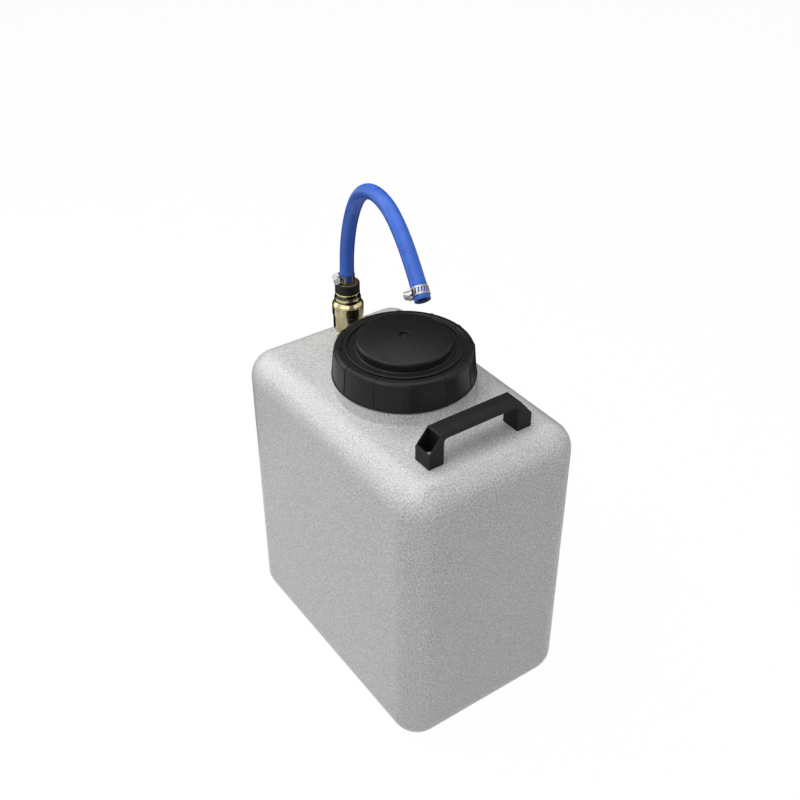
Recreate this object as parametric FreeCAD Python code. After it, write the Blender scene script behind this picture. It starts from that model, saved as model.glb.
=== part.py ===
"""Portable fresh water tank with a screw cap, a bridge handle and a hose coupling.

Millimetres, +Z up. The origin is on the floor under the middle of the tank.
X runs across the narrow side, Y along the long side: the handle is at the -Y
end and the coupling at the +Y end. Every piece is a solid of its own.
"""
import FreeCAD, Part
import math
import os

os.makedirs("parts", exist_ok=True)
Vector = FreeCAD.Vector

# Tank: a rotation moulded body with one even wall
tank_width = 208.0
tank_length = 320.0
tank_height = 342.0
tank_edge_radius = 30.0
tank_wall = 4.0

# Neck and the collar round its foot
neck_bore_radius = 60.0
neck_wall = 4.3
neck_height = 42.0
neck_foot_fillet = 1.5
neck_lip_fillet = 0.8
collar_radius = 72.0
collar_height = 16.3
collar_foot_fillet = 3.5
collar_edge_fillet = 2.5
throat_slope_height = 4.0
throat_fillet = 3.0

# Screw cap
cap_skirt_radius = 73.3
cap_rim_radius = 70.6
cap_wall = 2.7
cap_foot_gap = 1.3
cap_rim_step = 1.0
cap_rim_fillet = 4.5
cap_rim_land_radius = 64.0
cap_land_fillet = 0.3
cap_flange_height = 1.5
cap_flange_depth = 0.7
cap_flange_fillet = 0.3
cap_flange_slope = 1.2
cap_under_fillet = 1.5
cap_disc_radius = 48.7
cap_disc_height = 9.4
cap_disc_rise = 5.4
cap_disc_fillet = 2.6
cap_disc_foot_fillet = 1.4
cap_rib_count = 12
cap_rib_width = 1.6
cap_rib_height = 0.5
cap_rib_foot_gap = 0.6
cap_gate_radius = 5.4
cap_gate_depth = 3.6
cap_gate_lean = 0.8
cap_gate_mouth = 0.6
cap_gate_stub_radius = 2.6
cap_gate_stub_height = 1.5
cap_gate_stub_fillet = 1.2
cap_seal_rib_gap = 2.3
cap_seal_rib_width = 1.6
cap_seal_rib_height = 2.4
gasket_thickness = 3.3
gasket_width = 6.6

# Bridge handle, its screws and the inserts moulded into the roof
handle_length = 122.8
handle_width = 21.6
handle_height = 34.5
handle_leg = 17.0
handle_bar = 5.4
handle_wall = 1.3
handle_crown = 0.9
handle_slope_foot = 15.9
handle_slope_run = 15.0
handle_inner_fillet = 4.5
handle_end_fillet = 0.9
handle_edge_fillet = 0.8
handle_pocket_fillet = 1.0
handle_floor = 4.0
handle_end_inset = 44.4
screw_radius = 3.0
screw_tip_chamfer = 0.6
screw_head_radius = 4.9
screw_head_height = 3.6
screw_head_fillet = 1.6
screw_length = 16.0
screw_socket_across = 4.0
screw_socket_depth = 2.0
washer_radius = 5.5
washer_thickness = 1.2
insert_radius = 4.5
insert_length = 13.0
insert_boss_wall = 4.0
insert_boss_floor = 3.0

# Fitting through the roof that carries the coupling and the dip tube
coupling_end_inset = 56.0
stem_radius = 10.4
stem_bore_radius = 5.5
stem_bore_slope = 2.0
stem_flange_radius = 16.0
stem_flange_thickness = 3.5
stem_flange_fillet = 0.5
stem_tail_length = 22.0
stem_tail_lead = 4.0
stem_tail_wall = 1.6
stem_tail_barbs = 4
stem_barb_depth = 0.6
stem_barb_rise_share = 0.8
stem_seal_thickness = 2.0
stem_rise = 14.2
thread_gap = 0.05

# Quick coupling socket
socket_hex_across = 25.0
socket_hex_height = 13.0
socket_hex_turn = -35.0
socket_edge_chamfer = 0.8
socket_foot_radius = 13.0
socket_foot_height = 20.5
socket_foot_fillet = 0.4
socket_core_radius = 10.6
socket_core_height = 61.3
socket_bore_radius = 8.1
socket_bore_depth = 38.9
nose_skirt_radius = 16.6
nose_skirt_slope = 3.6
nose_waist_radius = 14.2
nose_waist_height = 4.1
nose_neck_radius = 13.2
nose_neck_slope = 3.0
nose_edge_fillet = 0.4
nose_ring_height = 14.4
ball_radius = 1.6
ball_count = 6
ball_drop = 6.3

# Locking sleeve and its spring
sleeve_radius = 16.05
sleeve_grip_radius = 16.8
sleeve_grip_height = 11.6
sleeve_grip_fillet = 0.4
sleeve_length = 28.6
sleeve_land_height = 8.0
sleeve_recess_height = 3.9
sleeve_recess_radius = 12.2
sleeve_recess_slope = 1.2
sleeve_end_chamfer = 1.2
spring_wire = 1.3
spring_wire_sides = 8
spring_turns = 6
spring_end_gap = 0.05

# Clearances: a running fit and a gap between moving neighbours
running_fit = 0.1
moving_gap = 0.3

# How far a cutting tool runs past the face that it cuts
cut_margin = 1.0

# Plug with its hose tail
plug_bore_radius = 4.5
plug_bore_slope = 2.0
plug_nose_chamfer = 1.0
plug_nose_slope = 1.6
plug_groove_depth = 1.1
plug_ring_wire = 1.9
plug_ring_side_gap = 0.2
plug_ring_rise = 7.7
plug_core_radius = 9.5
plug_collar_radius = 13.1
plug_collar_height = 10.2
plug_collar_foot_fillet = 0.5
plug_collar_top_fillet = 0.9
plug_flange_radius = 11.6
plug_flange_height = 0.6
plug_flange_fillet = 0.3
tail_length = 18.0
tail_barbs = 3
tail_barb_depth = 0.4
tail_barb_foot_share = 0.15
tail_barb_peak_share = 0.25
tail_bore_radius = 3.4
tail_gap = 0.05

# Hose, its route from the plug's flange, and its two clamps
hose_outer_radius = 7.5
hose_inner_radius = 5.0
hose_route = [
    (0.0, 0.0, 0.0),
    (0.0, 0.0, 25.1),
    (-1.5, -6.9, 58.1),
    (-4.5, -20.4, 88.8),
    (-8.7, -39.3, 114.8),
    (-14.3, -65.3, 131.5),
    (-20.9, -95.6, 137.6),
    (-27.6, -126.5, 132.8),
    (-36.1, -164.6, 109.8),
    (-45.0, -195.3, 84.2),
]
arc_share = 0.45
clamp_band_width = 8.0
clamp_band_thickness = 0.7
clamp_band_gap = 0.05
clamp_tail_start = -35.0
clamp_tail_sweep = 105.0
clamp_slot_start = 40.0
clamp_slot_sweep = 280.0
clamp_slot_count = 16
clamp_slot_width = 1.3
clamp_slot_length = 5.0
clamp_slot_lean = 9.0
clamp_housing_length = 8.0
clamp_housing_width = 9.0
clamp_housing_wall = 0.8
clamp_knee_height = 1.6
clamp_knee_slope = 1.2
clamp_arch_share = 0.95
clamp_worm_radius = 2.6
clamp_worm_stub = 0.4
clamp_flange_thickness = 0.8
clamp_head_radius = 3.7
clamp_head_across = 6.6
clamp_head_height = 3.4
clamp_head_gap = 0.3
clamp_driver_slot = 1.2
clamp_driver_depth = 1.4
lower_clamp_rise = 4.8
lower_clamp_heading = 155.0
end_clamp_inset = 8.3
end_clamp_side = (-0.819, 0.573, 0.0)

# Dip tube and foot strainer inside the tank
dip_tube_bore_radius = 6.5
dip_tube_wall = 1.5
dip_tube_top_gap = 2.5
strainer_radius = 14.0
strainer_height = 22.0
strainer_wall = 1.8
strainer_slots = 12
strainer_slot_width = 2.4
strainer_slot_length = 13.0
strainer_floor_gap = 0.3
strainer_socket_depth = 5.0
strainer_rim_height = 2.5
strainer_top_fillet = 1.5
strainer_foot_fillet = 1.0

# Places and heights that several pieces share
handle_y = -(tank_length / 2 - handle_end_inset)
coupling_y = tank_length / 2 - coupling_end_inset
roof_z = tank_height
ceiling_z = roof_z - tank_wall
neck_top_z = roof_z + neck_height
neck_radius = neck_bore_radius + neck_wall
collar_top_z = roof_z + collar_height
cap_foot_z = collar_top_z + cap_foot_gap
cap_ceiling_z = neck_top_z + gasket_thickness
cap_deck_z = cap_ceiling_z + cap_wall
socket_foot_z = roof_z + stem_seal_thickness
spring_seat_z = socket_foot_z + socket_foot_height
socket_top_z = socket_foot_z + socket_core_height
nose_ring_z = socket_top_z - nose_ring_height
sleeve_top_z = nose_ring_z - moving_gap
ball_z = nose_ring_z - ball_drop
ball_seat_radius = socket_core_radius + running_fit - moving_gap - ball_radius
spring_top_z = sleeve_top_z - sleeve_recess_height - sleeve_land_height
plug_shoulder_z = socket_top_z + moving_gap
plug_flange_z = plug_shoulder_z + plug_collar_height
hose_foot_z = plug_flange_z + plug_flange_height
hose_exit = Vector(0, coupling_y, hose_foot_z)
coupling_foot = Vector(0, coupling_y, 0)


def closed_wire(corners, place):
    """Closed outline through corners (a, b) or (a, b, radius of a tangent arc)."""
    spots = [Vector(corner[0], corner[1], 0) for corner in corners]
    trims = []
    for index, here in enumerate(spots):
        radius = corners[index][2] if len(corners[index]) > 2 else 0.0
        if radius == 0.0:
            trims.append((here, None, here))
            continue
        back = (spots[index - 1] - here).normalize()
        ahead = (spots[(index + 1) % len(spots)] - here).normalize()
        half = back.getAngle(ahead) / 2
        reach = radius / math.tan(half)
        inward = (back + ahead).normalize()
        middle = here + inward * (radius / math.sin(half) - radius)
        trims.append((here + back * reach, middle, here + ahead * reach))
    edges = []
    for index, (start, middle, end) in enumerate(trims):
        if middle is not None:
            edges.append(Part.Arc(place(start), place(middle), place(end)).toShape())
        following = trims[(index + 1) % len(trims)][0]
        if (following - end).Length > 1e-6:
            edges.append(Part.LineSegment(place(end), place(following)).toShape())
    return Part.Wire(edges)


def turned(corners, foot=Vector(0, 0, 0)):
    """Solid of revolution about the vertical through foot, corners as (radius, height)."""
    wire = closed_wire(corners, lambda p: Vector(p.x, 0, p.y))
    solid = Part.Face(wire).revolve(Vector(0, 0, 0), Vector(0, 0, 1), 360)
    solid.translate(foot)
    return solid


def ring(inner, outer, low, high, foot=Vector(0, 0, 0)):
    """Plain ring or tube between two radii and two heights."""
    return turned([(inner, low), (outer, low), (outer, high), (inner, high)], foot)


def disc(radius, low, high, foot=Vector(0, 0, 0)):
    """Plain upright cylinder."""
    return Part.makeCylinder(radius, high - low, foot + Vector(0, 0, low))


def hexagon(across, low, high, foot=Vector(0, 0, 0), turn=0.0):
    """Upright hexagonal prism, its first flat facing the heading turn."""
    corner = across / 2 / math.cos(math.pi / 6)
    headings = [math.radians(turn + 30 + 60 * step) for step in range(6)]
    points = [foot + Vector(corner * math.cos(a), corner * math.sin(a), low) for a in headings]
    face = Part.Face(Part.makePolygon(points + points[:1]))
    return face.extrude(Vector(0, 0, high - low))


def rounded_block(width, length, height, radius, low):
    """Block with one radius on all its edges, centred on the vertical axis."""
    block = Part.makeBox(width, length, height, Vector(-width / 2, -length / 2, low))
    return block.makeFillet(radius, block.Edges)


def copies(solid, places):
    """Compound of one solid repeated at several places."""
    group = []
    for place in places:
        repeat = solid.copy()
        repeat.translate(place)
        group.append(repeat)
    return Part.makeCompound(group)


def save(name, shape):
    """Write one node and report its size."""
    shape.exportStep("parts/" + name + ".step")
    print(name, "solids", len(shape.Solids), "volume", round(shape.Volume, 1), "valid", shape.isValid())


# Tank

screw_x = handle_length / 2 - handle_leg / 2
screw_places = [Vector(side * screw_x, handle_y, roof_z) for side in (-1, 1)]
insert_boss_radius = insert_radius + insert_boss_wall


def make_tank():
    """Hollow rounded box with collar, neck, insert bosses and coupling hole."""
    body = rounded_block(tank_width, tank_length, tank_height, tank_edge_radius, 0)
    hollow = rounded_block(
        tank_width - 2 * tank_wall,
        tank_length - 2 * tank_wall,
        tank_height - 2 * tank_wall,
        tank_edge_radius - tank_wall,
        tank_wall,
    )
    foot = collar_radius + collar_foot_fillet + cut_margin
    neck = turned([
        (0, ceiling_z),
        (foot, ceiling_z),
        (foot, roof_z),
        (collar_radius, roof_z, collar_foot_fillet),
        (collar_radius, collar_top_z, collar_edge_fillet),
        (neck_radius, collar_top_z, neck_foot_fillet),
        (neck_radius, neck_top_z, neck_lip_fillet),
        (0, neck_top_z),
    ])
    throat = turned([
        (0, ceiling_z - cut_margin),
        (collar_radius - tank_wall, ceiling_z - cut_margin),
        (collar_radius - tank_wall, collar_top_z - tank_wall - throat_slope_height, throat_fillet),
        (neck_bore_radius, collar_top_z - tank_wall, throat_fillet),
        (neck_bore_radius, neck_top_z + cut_margin),
        (0, neck_top_z + cut_margin),
    ])
    shell = body.cut(hollow).fuse(neck)
    boss_low = -insert_length - insert_boss_floor
    bosses = [disc(insert_boss_radius, boss_low, -tank_wall / 2, place) for place in screw_places]
    shell = shell.fuse(bosses)
    holes = [disc(insert_radius, -insert_length, cut_margin, place) for place in screw_places]
    stem_hole_radius = stem_radius + moving_gap
    holes.append(disc(stem_hole_radius, ceiling_z - cut_margin, roof_z + cut_margin, coupling_foot))
    return shell.cut([throat] + holes).removeSplitter()


# Screw cap

cap_land_z = cap_deck_z + cap_rim_step
disc_crown_z = cap_deck_z + cap_disc_height + cap_disc_rise
disc_dome_radius = (cap_disc_radius ** 2 + cap_disc_rise ** 2) / (2 * cap_disc_rise)
gate_floor_z = disc_crown_z - cap_gate_depth


def cap_outline(grow):
    """Outer profile of the cap's skirt and deck, grown outwards by a rib's height."""
    low = cap_foot_z + (cap_rib_foot_gap if grow else 0.0)
    return turned([
        (0, low),
        (cap_skirt_radius + grow, low),
        (cap_rim_radius + grow, cap_land_z + grow, cap_rim_fillet + grow),
        (cap_rim_land_radius - grow, cap_land_z + grow, cap_land_fillet),
        (cap_rim_land_radius - cap_rim_step - grow, cap_deck_z, cap_land_fillet),
        (0, cap_deck_z),
    ])


def domed_disc(radius, low, drop):
    """Round disc whose top is a shallow dome, lowered by drop."""
    dome_centre = Vector(0, 0, disc_crown_z - disc_dome_radius)
    dome = Part.makeSphere(disc_dome_radius - drop, dome_centre)
    return disc(radius, low, disc_crown_z + cut_margin).common(dome)


def make_cap():
    """One moulding: skirt with a foot flange, ribbed rim, domed disc and gate dimple."""
    cap = cap_outline(0.0)
    flange_radius = cap_skirt_radius + cap_flange_depth
    flange_top = cap_foot_z + cap_flange_height
    flange = turned([
        (cap_rim_radius - cap_wall, cap_foot_z),
        (flange_radius, cap_foot_z, cap_flange_fillet),
        (flange_radius, flange_top, cap_flange_fillet),
        (cap_rim_radius - cap_wall, flange_top + cap_flange_slope),
    ])
    raised = domed_disc(cap_disc_radius, cap_ceiling_z, 0.0)
    edge_low = cap_deck_z + cap_disc_height / 2
    rim_edges = [e for e in raised.Edges if e.Closed and e.BoundBox.ZMin > edge_low]
    raised = raised.makeFillet(cap_disc_fillet, rim_edges)
    foot_inner = cap_disc_radius - cap_disc_foot_fillet
    foot_reach = 2 * cap_disc_foot_fillet
    foot = turned([
        (foot_inner, cap_ceiling_z),
        (cap_disc_radius + foot_reach, cap_ceiling_z),
        (cap_disc_radius + foot_reach, cap_deck_z),
        (cap_disc_radius, cap_deck_z, cap_disc_foot_fillet),
        (cap_disc_radius, cap_deck_z + foot_reach),
        (foot_inner, cap_deck_z + foot_reach),
    ])
    rib_top = cap_land_z + cap_rib_height + cut_margin
    rib_reach = 2 * (cap_skirt_radius + cap_rib_height + cut_margin)
    rib_corner = Vector(-rib_reach / 2, -cap_rib_width / 2, cap_foot_z)
    slabs = []
    for step in range(cap_rib_count // 2):
        slab = Part.makeBox(rib_reach, cap_rib_width, rib_top - cap_foot_z, rib_corner)
        slab.rotate(Vector(0, 0, 0), Vector(0, 0, 1), step * 360.0 / cap_rib_count)
        slabs.append(slab)
    rib_inner = cap_rim_land_radius - cap_rim_step - 2 * cap_rib_height
    rib_stock = cap_outline(cap_rib_height).cut(disc(rib_inner, cap_foot_z - cut_margin, rib_top))
    ribs = rib_stock.common(slabs[0].fuse(slabs[1:]))
    cap = cap.fuse([flange, raised, foot, ribs])
    under = turned([
        (0, cap_foot_z - cut_margin),
        (cap_skirt_radius - cap_wall, cap_foot_z - cut_margin),
        (cap_rim_radius - cap_wall, cap_ceiling_z, cap_under_fillet),
        (0, cap_ceiling_z),
    ])
    under_disc = domed_disc(cap_disc_radius - cap_wall, cap_ceiling_z - cut_margin, cap_wall)
    gate_boss = disc(cap_gate_radius + cap_wall, gate_floor_z - cap_wall, disc_crown_z - cap_wall)
    seal_outer = neck_bore_radius - cap_seal_rib_gap
    seal_low = cap_ceiling_z - cap_seal_rib_height
    seal_rib = ring(seal_outer - cap_seal_rib_width, seal_outer, seal_low, cap_ceiling_z + cap_wall / 2)
    cap = cap.cut([under, under_disc]).fuse([gate_boss, seal_rib])
    gate = turned([
        (0, gate_floor_z),
        (cap_gate_radius - cap_gate_lean, gate_floor_z, cap_gate_lean),
        (cap_gate_radius, disc_crown_z - cap_gate_mouth),
        (cap_gate_radius + cap_gate_mouth, disc_crown_z),
        (cap_gate_radius + cap_gate_mouth, disc_crown_z + cut_margin),
        (0, disc_crown_z + cut_margin),
    ])
    stub_top = gate_floor_z + cap_gate_stub_height
    stub = turned([
        (0, gate_floor_z - cap_wall / 2),
        (cap_gate_stub_radius, gate_floor_z - cap_wall / 2),
        (cap_gate_stub_radius, stub_top, cap_gate_stub_fillet),
        (0, stub_top),
    ])
    return cap.cut(gate).fuse(stub).removeSplitter()


def make_gasket():
    """Flat sealing ring held under the cap, resting on the neck's top."""
    inner = neck_bore_radius - moving_gap
    return ring(inner, inner + gasket_width, neck_top_z, cap_ceiling_z)


# Bridge handle

def make_handle():
    """Bridge with slanted open ends, screw pockets in its legs and a crowned bar."""
    half = handle_length / 2
    inner = half - handle_leg
    corners = [
        (-half, 0),
        (-half, handle_slope_foot, handle_end_fillet),
        (-half + handle_slope_run, handle_height, handle_end_fillet),
        (half - handle_slope_run, handle_height, handle_end_fillet),
        (half, handle_slope_foot, handle_end_fillet),
        (half, 0),
        (inner, 0),
        (inner, handle_height - handle_bar, handle_inner_fillet),
        (-inner, handle_height - handle_bar, handle_inner_fillet),
        (-inner, 0),
    ]
    side = handle_width / 2
    wire = closed_wire(corners, lambda p: Vector(p.x, handle_y - side, roof_z + p.y))
    bridge = Part.Face(wire).extrude(Vector(0, handle_width, 0))
    section = [
        (-side, 0),
        (side, 0),
        (side, handle_height - handle_crown, handle_edge_fillet),
        (0, handle_height),
        (-side, handle_height - handle_crown, handle_edge_fillet),
    ]
    wire = closed_wire(section, lambda p: Vector(-half, handle_y + p.x, roof_z + p.y))
    bridge = bridge.common(Part.Face(wire).extrude(Vector(handle_length, 0, 0)))
    pocket_length = handle_leg - 2 * handle_wall
    pocket_width = handle_width - 2 * handle_wall
    pocket_height = handle_height - handle_crown - handle_wall - handle_floor
    for place in screw_places:
        corner = place + Vector(-pocket_length / 2, -pocket_width / 2, handle_floor)
        pocket = Part.makeBox(pocket_length, pocket_width, pocket_height, corner)
        upright = [e for e in pocket.Edges if e.BoundBox.ZLength > pocket_height / 2]
        hole = disc(screw_radius + moving_gap, -cut_margin, handle_floor + cut_margin, place)
        bridge = bridge.cut([pocket.makeFillet(handle_pocket_fillet, upright), hole])
    return bridge


def make_screws():
    """Pan head screws with a hexagon socket, from the pocket floor into the inserts."""
    seat = handle_floor + washer_thickness
    tip = seat - screw_length
    head_top = seat + screw_head_height
    screw = turned([
        (0, tip),
        (screw_radius - screw_tip_chamfer, tip),
        (screw_radius, tip + screw_tip_chamfer),
        (screw_radius, seat),
        (screw_head_radius, seat),
        (screw_head_radius, head_top, screw_head_fillet),
        (0, head_top),
    ])
    screw = screw.cut(hexagon(screw_socket_across, head_top - screw_socket_depth, head_top + cut_margin))
    return copies(screw, screw_places)


def make_washers():
    """Plain washers under the screw heads."""
    low = handle_floor
    washer = ring(screw_radius + moving_gap, washer_radius, low, low + washer_thickness)
    return copies(washer, screw_places)


def make_inserts():
    """Threaded brass sleeves moulded into the roof's bosses."""
    sleeve = ring(screw_radius + thread_gap, insert_radius, -insert_length, 0)
    return copies(sleeve, screw_places)


# Fitting through the roof

def make_stem():
    """Threaded tube with a flange under the roof and a barbed tail for the dip tube."""
    seal_z = ceiling_z - stem_seal_thickness
    flange_z = seal_z - stem_flange_thickness
    tail_radius = dip_tube_bore_radius - thread_gap
    tail_root = tail_radius - stem_barb_depth
    tail_bore = tail_radius - stem_tail_wall
    tail_low = flange_z - stem_tail_length
    corners = [
        (stem_bore_radius, socket_foot_z + stem_rise),
        (stem_bore_radius, flange_z),
        (tail_bore, flange_z - stem_bore_slope),
        (tail_bore, tail_low),
        (tail_root, tail_low),
    ]
    barb = (stem_tail_length - stem_tail_lead) / stem_tail_barbs
    for step in range(stem_tail_barbs):
        low = tail_low + step * barb
        corners.append((tail_radius, low + barb * stem_barb_rise_share))
        corners.append((tail_root, low + barb))
    corners += [
        (tail_root, flange_z),
        (stem_flange_radius, flange_z, stem_flange_fillet),
        (stem_flange_radius, seal_z, stem_flange_fillet),
        (stem_radius, seal_z),
        (stem_radius, socket_foot_z + stem_rise),
    ]
    return turned(corners, coupling_foot)


def make_stem_seals():
    """Flat rubber rings under and over the roof, sized to the pieces that press them."""
    inner = stem_radius + moving_gap
    lower = ring(inner, stem_flange_radius, ceiling_z - stem_seal_thickness, ceiling_z, coupling_foot)
    upper = ring(inner, socket_hex_across / 2, roof_z, socket_foot_z, coupling_foot)
    return lower, upper


# Quick coupling

def make_socket():
    """Brass socket: hexagon foot, spring seat, ported core and the bore for the plug."""
    hex_top = socket_foot_z + socket_hex_height
    prism = hexagon(socket_hex_across, socket_foot_z, hex_top, coupling_foot, socket_hex_turn)
    corner = socket_hex_across / 2 / math.cos(math.pi / 6)
    chamfer = turned([
        (0, socket_foot_z),
        (corner - socket_edge_chamfer, socket_foot_z),
        (corner, socket_foot_z + socket_edge_chamfer),
        (corner, hex_top - socket_edge_chamfer),
        (corner - socket_edge_chamfer, hex_top),
        (0, hex_top),
    ], coupling_foot)
    body = turned([
        (0, socket_foot_z),
        (socket_foot_radius, socket_foot_z),
        (socket_foot_radius, spring_seat_z, socket_foot_fillet),
        (socket_core_radius, spring_seat_z),
        (socket_core_radius, socket_top_z),
        (0, socket_top_z),
    ], coupling_foot)
    body = body.fuse(prism.common(chamfer))
    stem_stop_z = socket_foot_z + stem_rise + moving_gap
    bore_floor_z = socket_top_z - socket_bore_depth
    passage = turned([
        (0, socket_foot_z - cut_margin),
        (stem_radius + thread_gap, socket_foot_z - cut_margin),
        (stem_radius + thread_gap, stem_stop_z),
        (stem_bore_radius, stem_stop_z),
        (stem_bore_radius, bore_floor_z),
        (socket_bore_radius, bore_floor_z),
        (socket_bore_radius, socket_top_z - socket_edge_chamfer),
        (socket_bore_radius + socket_edge_chamfer + cut_margin, socket_top_z + cut_margin),
        (0, socket_top_z + cut_margin),
    ], coupling_foot)
    cuts = [passage]
    for step in range(ball_count):
        heading = math.radians(step * 360.0 / ball_count)
        outward = Vector(math.cos(heading), math.sin(heading), 0)
        start = coupling_foot + Vector(0, 0, ball_z) + outward * (socket_bore_radius - cut_margin)
        length = socket_core_radius - socket_bore_radius + 2 * cut_margin
        cuts.append(Part.makeCylinder(ball_radius + running_fit, length, start, outward))
    return body.cut(cuts)


def make_balls():
    """Locking balls in the core's ports, standing in the plug's groove."""
    balls = []
    for step in range(ball_count):
        heading = math.radians(step * 360.0 / ball_count)
        outward = Vector(math.cos(heading), math.sin(heading), 0)
        centre = coupling_foot + Vector(0, 0, ball_z) + outward * ball_seat_radius
        balls.append(Part.makeSphere(ball_radius, centre))
    return Part.makeCompound(balls)


def make_nose_ring():
    """Stepped ring screwed on the core's end: its skirt stops the sleeve, its neck meets the collar."""
    inner = socket_core_radius + thread_gap
    waist_low = nose_ring_z + nose_skirt_slope
    waist_high = waist_low + nose_waist_height
    return turned([
        (inner, nose_ring_z),
        (nose_skirt_radius, nose_ring_z, nose_edge_fillet),
        (nose_waist_radius, waist_low),
        (nose_waist_radius, waist_high),
        (nose_neck_radius, waist_high + nose_neck_slope),
        (nose_neck_radius, socket_top_z, nose_edge_fillet),
        (inner, socket_top_z),
    ], coupling_foot)


def make_sleeve():
    """Sliding sleeve: grip ring, plain skirt, land over the balls and spring chamber."""
    low = sleeve_top_z - sleeve_length
    grip_low = sleeve_top_z - sleeve_grip_height
    land_radius = socket_core_radius + running_fit
    land_top = sleeve_top_z - sleeve_recess_height
    chamber_radius = socket_foot_radius + moving_gap
    return turned([
        (chamber_radius, low),
        (sleeve_radius - sleeve_end_chamfer, low),
        (sleeve_radius, low + sleeve_end_chamfer),
        (sleeve_radius, grip_low),
        (sleeve_grip_radius, grip_low, sleeve_grip_fillet),
        (sleeve_grip_radius, sleeve_top_z, sleeve_grip_fillet),
        (sleeve_recess_radius, sleeve_top_z),
        (sleeve_recess_radius, land_top + sleeve_recess_slope),
        (land_radius, land_top),
        (land_radius, spring_top_z),
        (chamber_radius, spring_top_z),
    ], coupling_foot)


def make_spring():
    """Coil spring between the socket's seat and the sleeve's land, its wire drawn with flat sides."""
    mean_radius = (socket_core_radius + socket_foot_radius + moving_gap) / 2
    low = spring_seat_z + spring_wire / 2 + spring_end_gap
    height = spring_top_z - spring_wire / 2 - spring_end_gap - low
    helix = Part.makeHelix(height / spring_turns, height, mean_radius)
    slope = math.atan2(height / spring_turns, 2 * math.pi * mean_radius)
    outward = Vector(1, 0, 0)
    upward = Vector(0, -math.sin(slope), math.cos(slope))
    points = []
    for step in range(spring_wire_sides):
        angle = 2 * math.pi * step / spring_wire_sides
        offset = outward * math.cos(angle) + upward * math.sin(angle)
        points.append(outward * mean_radius + offset * (spring_wire / 2))
    section = Part.makePolygon(points + points[:1])
    coil = Part.Wire(helix.Edges).makePipeShell([section], True, True)
    coil.translate(coupling_foot + Vector(0, 0, low))
    return coil


plug_radius = socket_bore_radius - running_fit
plug_low_z = socket_top_z - socket_bore_depth + moving_gap
ring_seat_z = plug_low_z + plug_ring_rise
ring_centre_radius = plug_radius + running_fit / 2 - plug_ring_wire / 2


def make_plug():
    """Brass plug: nose with ring and ball grooves, shoulder, flange and hose tail."""
    groove = plug_radius - plug_groove_depth
    ring_seat = ring_centre_radius - plug_ring_wire / 2
    half_ring = plug_ring_wire / 2 + plug_ring_side_gap
    half_ball = ball_radius + moving_gap
    tail_radius = hose_inner_radius - tail_gap
    corners = [
        (plug_bore_radius, plug_low_z),
        (plug_radius - plug_nose_chamfer, plug_low_z),
        (plug_radius, plug_low_z + plug_nose_slope),
        (plug_radius, ring_seat_z - half_ring),
        (ring_seat, ring_seat_z - half_ring),
        (ring_seat, ring_seat_z + half_ring),
        (plug_radius, ring_seat_z + half_ring),
        (plug_radius, ball_z - half_ball - plug_groove_depth),
        (groove, ball_z - half_ball),
        (groove, ball_z + half_ball),
        (plug_radius, ball_z + half_ball + plug_groove_depth),
        (plug_radius, plug_shoulder_z),
        (plug_core_radius, plug_shoulder_z),
        (plug_core_radius, plug_flange_z),
        (plug_flange_radius, plug_flange_z),
        (plug_flange_radius, hose_foot_z, plug_flange_fillet),
        (tail_radius - tail_barb_depth, hose_foot_z),
    ]
    barb = tail_length / tail_barbs
    for step in range(tail_barbs):
        low = hose_foot_z + step * barb
        corners.append((tail_radius - tail_barb_depth, low + barb * tail_barb_foot_share))
        corners.append((tail_radius, low + barb * tail_barb_peak_share))
        corners.append((tail_radius - tail_barb_depth, low + barb))
    corners += [
        (tail_bore_radius, hose_foot_z + tail_length),
        (tail_bore_radius, plug_flange_z - plug_bore_slope),
        (plug_bore_radius, plug_flange_z - 2 * plug_bore_slope),
    ]
    return turned(corners, coupling_foot)


def make_plug_collar():
    """Black moulded collar round the plug's shoulder."""
    inner = plug_core_radius + thread_gap
    return turned([
        (inner, plug_shoulder_z),
        (plug_collar_radius, plug_shoulder_z, plug_collar_foot_fillet),
        (plug_collar_radius, plug_flange_z, plug_collar_top_fillet),
        (inner, plug_flange_z),
    ], coupling_foot)


def make_plug_ring():
    """Round rubber ring in the plug's groove."""
    centre = coupling_foot + Vector(0, 0, ring_seat_z)
    return Part.makeTorus(ring_centre_radius, plug_ring_wire / 2, centre)


# Hose

route = [hose_exit + Vector(*offset) for offset in hose_route]
hose_end = route[-1]
hose_end_run = (route[-1] - route[-2]).normalize()


def hose_path():
    """Straight runs joined by tangent arcs, with the radius and length of each."""
    edges, radii = [], []
    last = route[0]
    for before, here, after in zip(route, route[1:], route[2:]):
        back = (before - here)
        ahead = (after - here)
        shorter = min(back.Length, ahead.Length)
        back.normalize()
        ahead.normalize()
        half = back.getAngle(ahead) / 2
        reach = arc_share * shorter
        radius = reach * math.tan(half)
        inward = (back + ahead).normalize()
        middle = here + inward * (radius / math.sin(half) - radius)
        edges.append(Part.LineSegment(last, here + back * reach).toShape())
        edges.append(Part.Arc(here + back * reach, middle, here + ahead * reach).toShape())
        last = here + ahead * reach
        radii.append(round(radius, 1))
    edges.append(Part.LineSegment(last, route[-1]).toShape())
    print("hose radii", radii)
    return Part.Wire(edges)


def make_hose():
    """Tube along the route, with its bore."""
    path = hose_path()
    tubes = []
    for radius in (hose_outer_radius, hose_inner_radius):
        section = Part.Wire(Part.makeCircle(radius, route[0], Vector(0, 0, 1)))
        tubes.append(path.makePipeShell([section], True, False))
    hose = tubes[0].cut(tubes[1])
    area = math.pi * (hose_outer_radius ** 2 - hose_inner_radius ** 2)
    print("hose length", round(path.Length, 1), "volume", round(hose.Volume), round(area * path.Length))
    return hose


# Hose clamps, each made round the local Z axis with its housing on the +X side

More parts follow.
